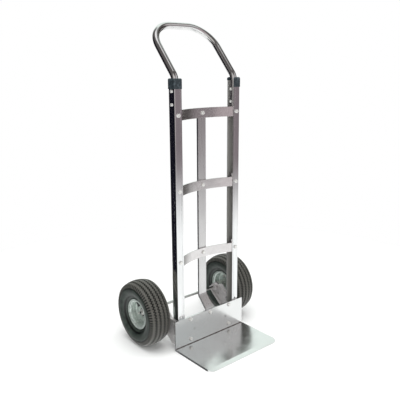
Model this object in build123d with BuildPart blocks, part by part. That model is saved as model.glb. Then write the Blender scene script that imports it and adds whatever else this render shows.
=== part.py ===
from build123d import *
import os
from math import cos, radians, sin, sqrt, tan

# Two-wheel aluminium hand truck, in millimetres. +Z is up, the nose plate points to -Y
# and the truck is symmetrical about X = 0. The origin is on the floor, midway between the
# nose plate's front edge and the back of the tyres.

# ---- Frame rails: upright C-channels, open towards each other ----
frame_width = 315.0
rail_flange = 31.0
rail_wall = 3.0
rail_corner = 3.0
rail_bottom = 14.0
rail_top = 1020.0
rail_groove_width = 1.6
rail_groove_depth = 0.8
rail_groove_inset = 7.0
spare_hole_height = 129.0
spare_hole_radius = 4.0

# ---- Wheels and axle ----
tyre_radius = 130.7
tyre_half_width = 46.8
wheel_offset = 68.3
axle_setback = 137.4
axle_radius = 6.35
axle_overhang = 9.0

# ---- Nose: upright heel plate and flat toe plate ----
nose_overhang = 20.3
nose_reach = 210.6
heel_height = 122.9
heel_thickness = 6.4
heel_corner = 4.0
toe_thickness = 7.9
toe_corner = 24.0
toe_bevel_length = 18.0
toe_edge_thickness = 3.0
weld_leg = 3.6
weld_floor_gap = 0.5
heel_bolt_inset = 24.5
heel_bolt_heights = (28.0, 112.0)
heel_vent_inset = 43.0
heel_vent_height = 66.0
heel_vent_radius = 3.5
tab_bolt_height = 111.0

# ---- Handle loop: one bent tube ----
tube_radius = 12.7
tube_wall = 2.0
tube_web_gap = 0.3
tube_side_gap = 1.8
handle_leg_gap = 2.25
handle_bend_radius = 45.0
handle_lean = 40.5
handle_bend_rise = 0.0
handle_rise = 201.5
handle_corner_radius = 102.0
handle_bolt_drops = (78.5, 32.0)

# ---- Rail caps ----
cap_wall = 2.6
cap_skirt = 24.5
cap_crown = 12.0
cap_edge = 5.0
cap_tube_gap = 2.6
cap_rear_setback = 9.0

# ---- Cross members: three bowed bands ----
band_top_drop = 116.0
band_pitch = 275.0
band_height = 37.5
band_bow = 31.5
band_web = 3.5
band_depth = 5.5
band_lip = 3.0
band_pad_width = 24.0
foot_length = 27.0
foot_gap = 0.3
band_overlap = 2.0
spigot_height = 13.0
spigot_gap = 0.3

# ---- Centre strap ----
strap_width = 38.0
strap_thickness = 3.0
strap_lip = 8.0
strap_top_margin = 14.0
strap_bend_height = 174.0
strap_tab_top = 131.0
strap_tab_bottom = 94.0
strap_bend_radius = 9.0

# ---- Base cross member behind the heel plate ----
base_bottom = 16.0
base_top = 120.0
base_thickness = 5.0
base_tab_clearance = 3.0
base_flange_thickness = 5.0
base_gap = 0.3

# ---- Axle brackets ----
bracket_thickness = 5.0
bracket_height = 115.0
bracket_foot_length = 39.0
bracket_lip_depth = 10.0
bracket_rail_gap = 0.6
bracket_lip_wall = 4.0
bracket_lug_radius = 17.0
bracket_boss_radius = 14.0
bracket_boss_height = 3.0
bracket_corner = 6.0
bracket_bolt_heights = (50.0, 100.0)
bracket_top_length = 52.0
bracket_hole_radius = 3.6
# Corners of the arm and its two small holes, as (Y, Z) steps from the axle.
bracket_arm_under = (14.1, -27.7)
bracket_arm_tip = (32.6, -4.7)
bracket_arm_over = (-38.1, 23.9)
bracket_holes = ((-19.0, -25.0), (-66.0, -29.0))

# ---- Wheel rim: two pressed half rims bolted back to back ----
rim_sheet = 2.0
rim_seat_radius = 50.8
rim_seat_length = 28.2
rim_flange_radius = 60.5
rim_lip_length = 4.0
rim_inner_bend = 6.0
rim_outer_bend = 3.0
rim_window_radius = 39.0
rim_window_width = 8.0
rim_window_sweep = 34.0
rim_window_angle = 17.0
rim_bolt_circle = 31.5
rim_bolt_count = 4

# ---- Tyre section ----
tyre_wall = 6.0
tread_half_width = 40.0
shoulder_radius = 122.5
widest_radius = 93.0
bead_outer_radius = 65.0
bead_width = 10.0
bead_gap = 0.05
bead_flange_step = 1.0
bead_foot_height = 2.0
crown_wall = 9.5
tread_groove_width = 3.0
# Each groove's distance from the middle of the tread, and its depth below the crown.
tread_grooves = ((8.0, 4.5), (24.0, 6.5))
inner_tube_radius = 89.0
inner_tube_half_width = 37.0
inner_tube_half_height = 32.0
inner_tube_wall = 1.8

# ---- Valve stem ----
valve_offset = 12.0
valve_angle = 60.0
valve_base_radius = 5.5
valve_radius = 4.0
valve_cap_radius = 4.8
valve_hole_gap = 0.3
valve_base_end = 43.0
valve_stem_end = 33.0
valve_tip = 25.5

# ---- Hub and its ball bearings ----
hub_radius = 19.0
hub_inner_reach = 56.8
hub_outer_reach = 5.2
bearing_radius = 15.0
bearing_width = 9.0
hub_bore_radius = 13.5
race_inner_wall = 2.9
race_outer_wall = 2.9
ball_radius = 2.5
ball_count = 9
ball_gap = 0.1
axle_fit = 0.04
side_gap = 0.3

# ---- Washers and cotter pins on the axle ----
washer_radius = 12.0
washer_thickness = 2.0
spacer_radius = 8.8
cotter_radius = 1.25
cotter_length = 22.0
cotter_eye_radius = 3.0
cotter_inset = 5.0
cotter_gap = 0.1

# ---- Hex fasteners ----
bolt_radius = 4.0
bolt_hole_gap = 0.3
hex_across_flats = 13.0
head_height = 5.3
nut_height = 6.5
hex_chamfer = 0.8
bolt_tail = 2.0
thread_gap = 0.05
small_bolt_radius = 3.0
small_hex_across_flats = 10.0
small_head_height = 4.0
small_nut_height = 5.0
spot_depth = 0.5
spot_radius = 8.5

# ---- Values worked out from the sizes above ----
rail_outer = frame_width / 2
rail_depth = 2 * (tube_radius + tube_side_gap + rail_wall)
web_inner = rail_outer - rail_wall
flange_tip = rail_outer - rail_flange
rail_front = (nose_reach - axle_setback - tyre_radius) / 2
rail_back = rail_front + rail_depth
flange_inner = rail_front + rail_wall
rear_flange_inner = rail_back - rail_wall
tube_x = web_inner - tube_web_gap - tube_radius
tube_y = rail_front + rail_depth / 2
axle_y = rail_front + axle_setback
axle_z = tyre_radius
heel_front = rail_front - heel_thickness
toe_front = rail_front - nose_reach
nose_width = frame_width + 2 * nose_overhang
heel_bolt_x = flange_tip - heel_bolt_inset
heel_vent_x = flange_tip - heel_vent_inset
hole_radius = bolt_radius + bolt_hole_gap
small_hole_radius = small_bolt_radius + bolt_hole_gap
large_hex = (bolt_radius, hex_across_flats, head_height, nut_height)
small_hex = (small_bolt_radius, small_hex_across_flats, small_head_height, small_nut_height)
band_heights = [rail_top - band_top_drop - step * band_pitch for step in (2, 1, 0)]
handle_bolt_heights = [rail_top - drop for drop in handle_bolt_drops]
handle_leg_bottom = band_heights[-1] + band_height / 2 + handle_leg_gap
handle_top_height = rail_top + handle_rise
cap_bottom = rail_top - cap_skirt
cap_top = rail_top + cap_crown
strap_top = band_heights[-1] + strap_top_margin
wheel_center = rail_outer + wheel_offset
hub_inner_end = wheel_center - hub_inner_reach
hub_outer_end = wheel_center + hub_outer_reach
axle_end = hub_outer_end + axle_overhang
band_center_y = rail_front + rail_wall + band_bow
strap_front = band_center_y + band_depth
bracket_outer = rail_outer + bracket_thickness
boss_face = bracket_outer + bracket_boss_height
foot_start = web_inner - foot_gap - foot_length
spigot_radius = tube_radius - tube_wall - spigot_gap
ball_circle = (axle_radius + bearing_radius) / 2

axle_line = Axis((0, axle_y, axle_z), (1, 0, 0))
wheel_section = Plane((wheel_center, axle_y, axle_z), x_dir=(1, 0, 0), z_dir=(0, -1, 0))


def front_plane(x, y, z):
    """A plane at (x, y, z) that faces the front of the truck."""
    return Plane((x, y, z), x_dir=(1, 0, 0), z_dir=(0, -1, 0))


def side_plane(x, y, z, facing=1):
    """A plane at (x, y, z) that faces +X, or -X where facing is -1."""
    return Plane((x, y, z), x_dir=(0, 1, 0), z_dir=(facing, 0, 0))


def mirrored(part):
    """The same piece on the other side of the truck."""
    with BuildPart() as other:
        mirror(part, about=Plane.YZ)
    return other.part


def both_sides(parts):
    """One part with each given piece and its mirror image, as separate solids."""
    with BuildPart() as pair:
        for part in parts:
            add(part)
            mirror(part, about=Plane.YZ)
    return pair.part


def grouped(parts):
    """One part that holds every given piece as a separate solid."""
    with BuildPart() as group:
        for part in parts:
            add(part)
    return group.part


def hex_bolt(seat, grip, size=large_hex):
    """A hex bolt whose head sits on the seat plane and whose shank passes the grip."""
    radius, flats, head, nut = size
    with BuildPart() as bolt:
        with BuildSketch(seat):
            RegularPolygon(flats / 2, 6, major_radius=False)
        extrude(amount=head)
        top = bolt.faces().sort_by(Axis(seat.origin, seat.z_dir))[-1]
        chamfer(top.edges(), length=hex_chamfer)
        with BuildSketch(seat):
            Circle(radius)
        extrude(amount=-(grip + nut + bolt_tail))
        tip = bolt.faces().sort_by(Axis(seat.origin, seat.z_dir))[0]
        chamfer(tip.edges(), length=hex_chamfer)
    return bolt.part


def hex_nut(seat, size=large_hex):
    """A hex nut that sits on the seat plane."""
    radius, flats, _, height = size
    with BuildPart() as nut:
        with BuildSketch(seat):
            RegularPolygon(flats / 2, 6, major_radius=False)
        extrude(amount=height)
        top = nut.faces().sort_by(Axis(seat.origin, seat.z_dir))[-1]
        chamfer(top.edges(), length=hex_chamfer)
        with BuildSketch(seat):
            Circle(radius + thread_gap)
        extrude(amount=height, mode=Mode.SUBTRACT)
    return nut.part


def write(part, label):
    """Labels a finished piece and writes it to its own STEP file."""
    part.label = label
    export_step(part, f"parts/{label}.step")


# ---- Frame rails ----
def rail_outline():
    """The rail's outer outline, solid, seen from above."""
    with BuildSketch() as outline:
        with Locations((rail_outer - rail_flange / 2, rail_front + rail_depth / 2)):
            Rectangle(rail_flange, rail_depth)
        fillet(outline.vertices().group_by(Axis.X)[-1], radius=rail_corner)
    return outline.sketch


def make_rail():
    """The right-hand rail with its groove and its bolt holes."""
    with BuildPart() as rail:
        with BuildSketch(Plane.XY.offset(rail_bottom)):
            add(rail_outline())
            with Locations((flange_tip, rail_front + rail_depth / 2)):
                Rectangle(2 * (rail_flange - rail_wall), rail_depth - 2 * rail_wall,
                          mode=Mode.SUBTRACT)
            with Locations((flange_tip + rail_groove_inset, rail_front)):
                Rectangle(rail_groove_width, 2 * rail_groove_depth, mode=Mode.SUBTRACT)
        extrude(amount=rail_top - rail_bottom)
        with Locations(front_plane(tube_x, rail_front, spare_hole_height)):
            Hole(spare_hole_radius, depth=2 * rail_wall)
        for height in band_heights:
            with Locations(front_plane(tube_x, rail_front, height)):
                Hole(hole_radius, depth=2 * rail_depth)
        for heights, radius in ((handle_bolt_heights, small_hole_radius),
                                (bracket_bolt_heights, hole_radius)):
            for height in heights:
                with Locations(side_plane(rail_outer, tube_y, height)):
                    Hole(radius, depth=2 * rail_wall)
    return rail.part


def make_cap():
    """The right-hand plastic cap, with a slot for the handle tube open inwards."""
    cap_length = rail_flange + cap_wall
    cap_depth = rail_depth + 2 * cap_wall
    with BuildPart() as cap:
        with BuildSketch(Plane.XY.offset(cap_bottom)) as outline:
            with Locations((flange_tip + cap_length / 2, tube_y)):
                Rectangle(cap_length, cap_depth)
            fillet(outline.vertices().group_by(Axis.X)[-1], radius=rail_corner + cap_wall)
        extrude(amount=cap_top - cap_bottom)
        fillet(cap.faces().sort_by(Axis.Z)[-1].edges(), radius=cap_edge)
        with BuildSketch(Plane.XY.offset(cap_bottom)):
            add(rail_outline())
        extrude(amount=rail_top - cap_bottom, mode=Mode.SUBTRACT)
        with BuildSketch(Plane.XY.offset(rail_top)):
            with Locations((tube_x, tube_y)):
                Circle(tube_radius + cap_tube_gap)
            with Locations((flange_tip, tube_y)):
                Rectangle(2 * (tube_x - flange_tip), 2 * (tube_radius + cap_tube_gap))
        extrude(amount=cap_top - rail_top, mode=Mode.SUBTRACT)
        with BuildSketch(Plane.XY.offset(cap_bottom)):
            with Locations((flange_tip, rail_back + cap_wall)):
                Rectangle(2 * cap_rear_setback, 4 * cap_wall)
        extrude(amount=rail_top - cap_bottom, mode=Mode.SUBTRACT)
    return cap.part


# ---- Handle ----
def make_handle():
    """The handle loop: up out of both rails, back at a lean and across the top."""
    start = Vector(-tube_x, tube_y, handle_leg_bottom)
    bend_tangent = handle_bend_radius * tan(radians(handle_lean / 2))
    corner_height = rail_top + handle_bend_rise + bend_tangent
    top_y = tube_y + (handle_top_height - corner_height) * tan(radians(handle_lean))
    with BuildLine() as path:
        FilletPolyline(
            start,
            (-tube_x, tube_y, corner_height),
            (-tube_x, top_y, handle_top_height),
            (tube_x, top_y, handle_top_height),
            (tube_x, tube_y, corner_height),
            (tube_x, tube_y, handle_leg_bottom),
            radius=[handle_bend_radius, handle_corner_radius,
                    handle_corner_radius, handle_bend_radius],
        )
    with BuildPart() as handle:
        with BuildSketch(Plane(start, x_dir=(1, 0, 0), z_dir=(0, 0, 1))):
            Circle(tube_radius)
            Circle(tube_radius - tube_wall, mode=Mode.SUBTRACT)
        sweep(path=path.wire())
        drill_depth = rail_outer - tube_x + 2 * tube_radius
        for side in (-1, 1):
            for height in handle_bolt_heights:
                with Locations(side_plane(side * rail_outer, tube_y, height, side)):
                    Hole(small_hole_radius, depth=drill_depth)
    return handle.part


# ---- Cross members ----
def bow_edge(depth):
    """One long edge of the bowed band, seen from above, at a depth behind its front."""
    end_x = foot_start + band_overlap
    return ThreePointArc((-end_x, flange_inner + depth), (0, band_center_y + depth),
                         (end_x, flange_inner + depth))


def band_slice(front_depth, back_depth):
    """The band between two depths, seen from above."""
    with BuildSketch() as strip:
        with BuildLine():
            front = bow_edge(front_depth)
            back = bow_edge(back_depth)
            Line(front @ 0, back @ 0)
            Line(front @ 1, back @ 1)
        make_face()
    return strip.sketch


def make_cross_member(height):
    """One bowed cross member: a lipped band with a block and a spigot at each end."""
    bottom = height - band_height / 2
    foot_center = foot_start + foot_length / 2
    foot_depth = rail_depth - 2 * rail_wall - foot_gap
    with BuildPart() as member:
        with BuildSketch(Plane.XY.offset(bottom)):
            add(band_slice(0, band_depth))
        extrude(amount=band_height)
        with BuildSketch(Plane.XY.offset(bottom + band_lip)):
            add(band_slice(band_web, 2 * band_depth))
        extrude(amount=band_height - 2 * band_lip, mode=Mode.SUBTRACT)
        with BuildSketch(Plane.XY.offset(bottom)):
            with Locations((0, (band_center_y + strap_front) / 2)):
                Rectangle(band_pad_width, band_depth)
            for side in (-1, 1):
                with Locations((side * foot_center, flange_inner + foot_depth / 2)):
                    Rectangle(foot_length, foot_depth)
        extrude(amount=band_height)
        with BuildSketch(Plane.XY.offset(bottom + band_height)):
            with Locations((-tube_x, tube_y), (tube_x, tube_y)):
                Circle(spigot_radius)
        extrude(amount=spigot_height)
        with Locations(front_plane(0, band_center_y, height)):
            Hole(hole_radius, depth=2 * band_depth)
        with Locations(front_plane(0, band_center_y - band_depth, height)):
            Hole(spot_radius, depth=band_depth + spot_depth)
        for side in (-1, 1):
            with Locations(front_plane(side * tube_x, flange_inner, height)):
                Hole(hole_radius, depth=rail_depth)
    return member.part


def make_strap():
    """The centre strap: a shallow channel that ends in a flat tab behind the heel."""
    with BuildPart() as strap:
        with BuildSketch(Plane.YZ.offset(-strap_width / 2)):
            with BuildLine():
                spine = FilletPolyline(
                    (rail_front, strap_tab_bottom),
                    (rail_front, strap_tab_top),
                    (strap_front, strap_bend_height),
                    (strap_front, strap_top),
                    radius=strap_bend_radius,
                )
                offset(spine, amount=strap_thickness, side=Side.RIGHT)
            make_face()
        extrude(amount=strap_width)
        for edge in (-strap_width / 2, strap_width / 2 - strap_thickness):
            with BuildSketch(Plane.YZ.offset(edge)):
                with BuildLine():
                    spine = FilletPolyline(
                        (rail_front, strap_tab_top),
                        (strap_front, strap_bend_height),
                        (strap_front, strap_top),
                        radius=strap_bend_radius,
                    )
                    offset(spine, amount=strap_lip, side=Side.RIGHT)
                make_face()
            extrude(amount=strap_thickness)
        for height in band_heights:
            with Locations(front_plane(0, strap_front, height)):
                Hole(hole_radius, depth=2 * strap_lip)
        with Locations(front_plane(0, rail_front, tab_bolt_height)):
            Hole(hole_radius, depth=2 * strap_thickness)
    return strap.part


# ---- Nose ----
def make_base_member():
    """The member behind the heel plate, with ends that reach into both rails."""
    height = base_top - base_bottom
    middle = (base_top + base_bottom) / 2
    inner_half = flange_tip - base_gap
    end_x = web_inner
    notch = strap_width / 2 + base_tab_clearance
    reach = end_x - inner_half + base_thickness
    flange_length = rear_flange_inner - flange_inner - base_gap
    with BuildPart() as base:
        with Locations((0, rail_front + base_thickness / 2, middle)):
            Box(2 * inner_half, base_thickness, height)
        for side in (-1, 1):
            with Locations((side * (end_x - reach / 2), flange_inner + base_thickness / 2,
                            middle)):
                Box(reach, base_thickness, height)
            with Locations((side * (end_x - base_flange_thickness / 2),
                            flange_inner + flange_length / 2, middle)):
                Box(base_flange_thickness, flange_length, height)
        with Locations((0, rail_front, base_top)):
            Box(2 * notch, 4 * base_thickness, 2 * (base_top - strap_tab_bottom + base_gap),
                mode=Mode.SUBTRACT)
        for side in (-1, 1):
            for height_up in heel_bolt_heights:
                with Locations(front_plane(side * heel_bolt_x, rail_front, height_up)):
                    Hole(hole_radius, depth=2 * base_thickness)
            with Locations(front_plane(side * heel_vent_x, rail_front, heel_vent_height)):
                Hole(heel_vent_radius, depth=2 * base_thickness)
            for height_up in bracket_bolt_heights:
                with Locations(side_plane(side * end_x, tube_y, height_up, side)):
                    Hole(hole_radius, depth=2 * base_flange_thickness)
    return base.part


def make_heel():
    """The upright plate that the load leans on, bolted to the base member."""
    with BuildPart() as heel:
        with BuildSketch(front_plane(0, rail_front, 0)):
            with Locations((0, heel_height / 2)):
                Rectangle(nose_width, heel_height)
        extrude(amount=heel_thickness)
        corners = heel.edges().filter_by(Axis.Y).group_by(Axis.Z)[-1]
        fillet(corners, radius=heel_corner)
        for side in (-1, 1):
            for height in heel_bolt_heights:
                with Locations(front_plane(side * heel_bolt_x, heel_front, height)):
                    Hole(hole_radius, depth=2 * heel_thickness)
            with Locations(front_plane(side * heel_vent_x, heel_front, heel_vent_height)):
                Hole(heel_vent_radius, depth=2 * heel_thickness)
        with Locations(front_plane(0, heel_front, tab_bolt_height)):
            Hole(hole_radius, depth=2 * heel_thickness)
    return heel.part


def make_toe():
    """The flat toe plate: bevelled down to its front edge, with round front corners."""
    half_width = nose_width / 2
    with BuildPart() as toe:
        with BuildSketch(Plane.YZ.offset(-half_width)):
            with BuildLine():
                Polyline(
                    (toe_front, 0),
                    (heel_front - weld_leg, 0),
                    (heel_front, weld_leg),
                    (heel_front, toe_thickness),
                    (toe_front + toe_bevel_length, toe_thickness),
                    (toe_front, toe_edge_thickness),
                    close=True,
                )
            make_face()
        extrude(amount=nose_width)
        corners = toe.edges().filter_by(Axis.Z).group_by(Axis.Y)[0]
        fillet(corners, radius=toe_corner)
    return toe.part


def make_heel_weld():
    """The weld bead in the groove under the toe plate, along the heel plate."""
    leg = weld_leg - weld_floor_gap
    with BuildPart() as weld:
        with BuildSketch(Plane.YZ.offset(-nose_width / 2)):
            with BuildLine():
                Polyline(
                    (heel_front, weld_floor_gap),
                    (heel_front, weld_leg),
                    (heel_front - leg, weld_floor_gap),
                    close=True,
                )
            make_face()
        extrude(amount=nose_width)
    return weld.part


# ---- Axle brackets and axle ----
def from_axle(step):
    """The (Y, Z) point at a step from the axle's centre."""
    return (axle_y + step[0], axle_z + step[1])


def bracket_outline():
    """The bracket's outline in (Y, Z): a foot on the rail and an arm to the axle."""
    with BuildSketch() as outline:
        with BuildLine():
            FilletPolyline(
                (rail_front, rail_bottom),
                (rail_front + bracket_foot_length, rail_bottom),
                from_axle(bracket_arm_under),
                from_axle(bracket_arm_tip),
                from_axle(bracket_arm_over),
                (rail_front + bracket_top_length, bracket_height),
                (rail_front, bracket_height),
                radius=bracket_corner,
                close=True,
            )
        make_face()
        with Locations((axle_y, axle_z)):
            Circle(bracket_lug_radius)
    return outline.sketch


def make_bracket():
    """The right-hand axle bracket: a plate with inward lips and an axle boss."""
    outer = bracket_outline()
    lip_start = rail_back + bracket_rail_gap
    with BuildPart() as bracket:
        with BuildSketch(side_plane(rail_outer, 0, 0)):
            add(outer)
        extrude(amount=bracket_thickness)
        with BuildSketch(side_plane(rail_outer, 0, 0)):
            add(outer)
            offset(outer, amount=-bracket_lip_wall, kind=Kind.INTERSECTION,
                   mode=Mode.SUBTRACT)
            with Locations((lip_start, axle_z)):
                Rectangle(4 * rail_depth, 2 * tyre_radius, align=(Align.MAX, Align.CENTER),
                          mode=Mode.SUBTRACT)
        extrude(amount=-bracket_lip_depth)
        with BuildSketch(side_plane(rail_outer, 0, 0)):
            with Locations((axle_y, axle_z)):
                Circle(bracket_boss_radius)
        extrude(amount=bracket_thickness + bracket_boss_height)
        with BuildSketch(side_plane(rail_outer, 0, 0)):
            with Locations((axle_y, axle_z)):
                Circle(bracket_boss_radius)
        extrude(amount=-bracket_lip_depth)
        with Locations(side_plane(boss_face, axle_y, axle_z)):
            Hole(axle_radius + axle_fit, depth=2 * bracket_lip_depth + bracket_thickness)
        for height in bracket_bolt_heights:
            with Locations(side_plane(bracket_outer, tube_y, height)):
                Hole(hole_radius, depth=2 * bracket_thickness)
        for step in bracket_holes:
            with Locations(side_plane(bracket_outer, *from_axle(step))):
                Hole(bracket_hole_radius, depth=2 * bracket_thickness)
    return bracket.part


def make_axle():
    """The fixed cross axle with a cotter hole near each end."""
    with BuildPart() as axle:
        with BuildSketch(side_plane(-axle_end, axle_y, axle_z)):
            Circle(axle_radius)
        extrude(amount=2 * axle_end)
        chamfer(axle.edges().filter_by(GeomType.CIRCLE), length=hex_chamfer)
        for side in (-1, 1):
            with Locations(Plane((side * (axle_end - cotter_inset), axle_y,
                                  axle_z + 2 * axle_radius))):
                Hole(cotter_radius + cotter_gap, depth=4 * axle_radius)
    return axle.part


def make_ring(face_x, inner, outer, length):
    """A plain ring round the axle that starts at face_x and runs outwards."""
    with BuildPart() as ring:
        with BuildSketch(side_plane(face_x, axle_y, axle_z)):
            Circle(outer)
            Circle(inner, mode=Mode.SUBTRACT)
        extrude(amount=length)
    return ring.part


def make_cotter():
    """The right-hand cotter pin, with its eye above the axle."""
    pin_x = axle_end - cotter_inset
    eye_height = axle_z + cotter_length / 2
    with BuildPart() as pin:
        with BuildSketch(Plane((pin_x, axle_y, axle_z - cotter_length / 2))):
            Circle(cotter_radius)
        extrude(amount=cotter_length - cotter_eye_radius)
        with Locations(Plane((pin_x, axle_y, eye_height), x_dir=(0, 1, 0), z_dir=(1, 0, 0))):
            Torus(cotter_eye_radius, cotter_radius)
    return pin.part


# ---- Wheel ----
def make_half_rim():
    """The outer half rim: disc, bead seat and flange, pressed from one sheet."""
    with BuildPart() as rim:
        with BuildSketch(wheel_section):
            with BuildLine():
                tyre_face = FilletPolyline(
                    (0, hub_radius),
                    (0, rim_seat_radius),
                    (rim_seat_length, rim_seat_radius),
                    (rim_seat_length, rim_flange_radius),
                    (rim_seat_length + rim_lip_length, rim_flange_radius),
                    radius=[rim_inner_bend, rim_outer_bend, rim_sheet / 2],
                )
                offset(tyre_face, amount=rim_sheet, side=Side.RIGHT)
            make_face()
        revolve(axis=axle_line)
        face = side_plane(wheel_center + rim_sheet, axle_y, axle_z)
        with BuildSketch(face):
            with PolarLocations(0, rim_bolt_count, start_angle=rim_window_angle):
                SlotArc(
                    CenterArc((0, 0), rim_window_radius, -rim_window_sweep / 2,
                              rim_window_sweep, mode=Mode.PRIVATE),
                    height=rim_window_width,
                )
        extrude(amount=-2 * rim_sheet, mode=Mode.SUBTRACT)
        bolt_start = rim_window_angle + 180 / rim_bolt_count
        with Locations(face):
            with PolarLocations(rim_bolt_circle, rim_bolt_count, start_angle=bolt_start):
                Hole(small_bolt_radius + bolt_hole_gap, depth=2 * rim_sheet)
    return rim.part


def valve_plane(radius):
    """A plane across the valve stem at a radius from the axle, facing the axle."""
    angle = radians(valve_angle)
    outwards = Vector(0, cos(angle), sin(angle))
    origin = Vector(wheel_center + valve_offset, axle_y, axle_z) + outwards * radius
    return Plane(origin, x_dir=(1, 0, 0), z_dir=-outwards)


def drill_valve_hole(rim):
    """The outer half rim again, with the hole that the valve stem leaves by."""
    with BuildPart() as drilled:
        add(rim)
        with Locations(valve_plane(rim_flange_radius)):
            Hole(valve_base_radius + valve_hole_gap, depth=rim_flange_radius - valve_base_end)
    return drilled.part


def make_tyre():
    """The pneumatic tyre: a hollow section, open to the rim, with ringed tread."""
    bead_inner_x = rim_seat_length - bead_width
    bead_bottom = rim_seat_radius + bead_gap
    bead_top = rim_flange_radius + bead_foot_height
    inner_shoulder = tread_half_width - tyre_wall / 2
    with BuildPart() as tyre:
        with BuildSketch(wheel_section):
            with BuildLine():
                for side in (-1, 1):
                    ThreePointArc(
                        (side * tread_half_width, shoulder_radius),
                        (side * tyre_half_width, widest_radius),
                        (side * (rim_seat_length + rim_lip_length), bead_outer_radius),
                    )
                    Polyline(
                        (side * (rim_seat_length + rim_lip_length), bead_outer_radius),
                        (side * (rim_seat_length - bead_gap),
                         rim_flange_radius + bead_flange_step),
                        (side * (rim_seat_length - bead_gap), bead_bottom + rim_outer_bend),
                        (side * (rim_seat_length - rim_outer_bend), bead_bottom),
                        (side * bead_inner_x, bead_bottom),
                        (side * (bead_inner_x + tyre_wall), bead_top),
                    )
                    ThreePointArc(
                        (side * (bead_inner_x + tyre_wall), bead_top),
                        (side * (tyre_half_width - tyre_wall), widest_radius),
                        (side * inner_shoulder, shoulder_radius - tyre_wall),
                    )
                ThreePointArc(
                    (-tread_half_width, shoulder_radius),
                    (0, tyre_radius),
                    (tread_half_width, shoulder_radius),
                )
                ThreePointArc(
                    (-inner_shoulder, shoulder_radius - tyre_wall),
                    (0, tyre_radius - crown_wall),
                    (inner_shoulder, shoulder_radius - tyre_wall),
                )
            make_face()
            for offset_x, depth in tread_grooves:
                with Locations((-offset_x, tyre_radius), (offset_x, tyre_radius)):
                    Rectangle(tread_groove_width, 2 * depth, mode=Mode.SUBTRACT)
        revolve(axis=axle_line)
    return tyre.part


def make_inner_tube():
    """The inflated inner tube, a closed ring with a thin wall."""
    with BuildPart() as tube:
        with BuildSketch(wheel_section):
            with Locations((0, inner_tube_radius)):
                Ellipse(inner_tube_half_width, inner_tube_half_height)
                Ellipse(inner_tube_half_width - inner_tube_wall,
                        inner_tube_half_height - inner_tube_wall, mode=Mode.SUBTRACT)
        revolve(axis=axle_line)
    return tube.part


def make_valve():
    """The valve stem: a rubber base from the tube, a metal stem and a cap."""
    near_share = (valve_offset - valve_base_radius) / inner_tube_half_width
    tube_bottom = inner_tube_radius - inner_tube_half_height * sqrt(1 - near_share ** 2)
    start_radius = tube_bottom - side_gap
    with BuildPart() as valve:
        for top, bottom, radius in (
            (start_radius, valve_base_end, valve_base_radius),
            (valve_base_end, valve_stem_end, valve_radius),
            (valve_stem_end, valve_tip, valve_cap_radius),
        ):
            with BuildSketch(valve_plane(top)):
                Circle(radius)
            extrude(amount=top - bottom)
    return valve.part


def make_hub():
    """The hub tube with a bearing seat at each end."""
    with BuildPart() as hub:
        with BuildSketch(side_plane(hub_inner_end, axle_y, axle_z)):
            Circle(hub_radius)
            Circle(hub_bore_radius, mode=Mode.SUBTRACT)
        extrude(amount=hub_outer_end - hub_inner_end)
        for start in (hub_inner_end, hub_outer_end - bearing_width):
            with BuildSketch(side_plane(start, axle_y, axle_z)):
                Circle(bearing_radius)
            extrude(amount=bearing_width, mode=Mode.SUBTRACT)
        chamfer(hub.faces().sort_by(Axis.X)[-1].edges(), length=hex_chamfer)
    return hub.part


def race_ring(start, inner, outer):
    """A bearing race from one radius to another, with its ball groove."""
    middle = start + bearing_width / 2
    with BuildPart() as race:
        with BuildSketch(wheel_section):
            with Locations((middle - wheel_center, (inner + outer) / 2)):
                Rectangle(bearing_width, outer - inner)
            with Locations((middle - wheel_center, ball_circle)):
                Circle(ball_radius + ball_gap, mode=Mode.SUBTRACT)
        revolve(axis=axle_line)
    return race.part


def make_balls(start):
    """One bearing's ring of separate balls."""
    middle = start + bearing_width / 2
    with BuildPart() as balls:
        with Locations(side_plane(middle, axle_y, axle_z)):
            with PolarLocations(ball_circle, ball_count):
                Sphere(ball_radius)
    return balls.part


def make_rim_fasteners():
    """The bolts and nuts that hold the two half rims together."""
    bolts = []
    nuts = []
    for index in range(rim_bolt_count):
        angle = radians(rim_window_angle + (index + 0.5) * 360 / rim_bolt_count)
        y = axle_y + rim_bolt_circle * cos(angle)
        z = axle_z + rim_bolt_circle * sin(angle)
        head_seat = side_plane(wheel_center + rim_sheet, y, z)
        nut_seat = side_plane(wheel_center - rim_sheet, y, z, -1)
        bolts.append(hex_bolt(head_seat, 2 * rim_sheet, small_hex))
        nuts.append(hex_nut(nut_seat, small_hex))
    return grouped(bolts), grouped(nuts)


# ---- Frame fasteners ----
def bolt_and_nut(seat, grip, size=large_hex):
    """A bolt on its seat and the nut at the far side of the grip."""
    nut_seat = Plane(seat.origin - seat.z_dir * grip, x_dir=seat.x_dir, z_dir=-seat.z_dir)
    return hex_bolt(seat, grip, size), hex_nut(nut_seat, size)


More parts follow.
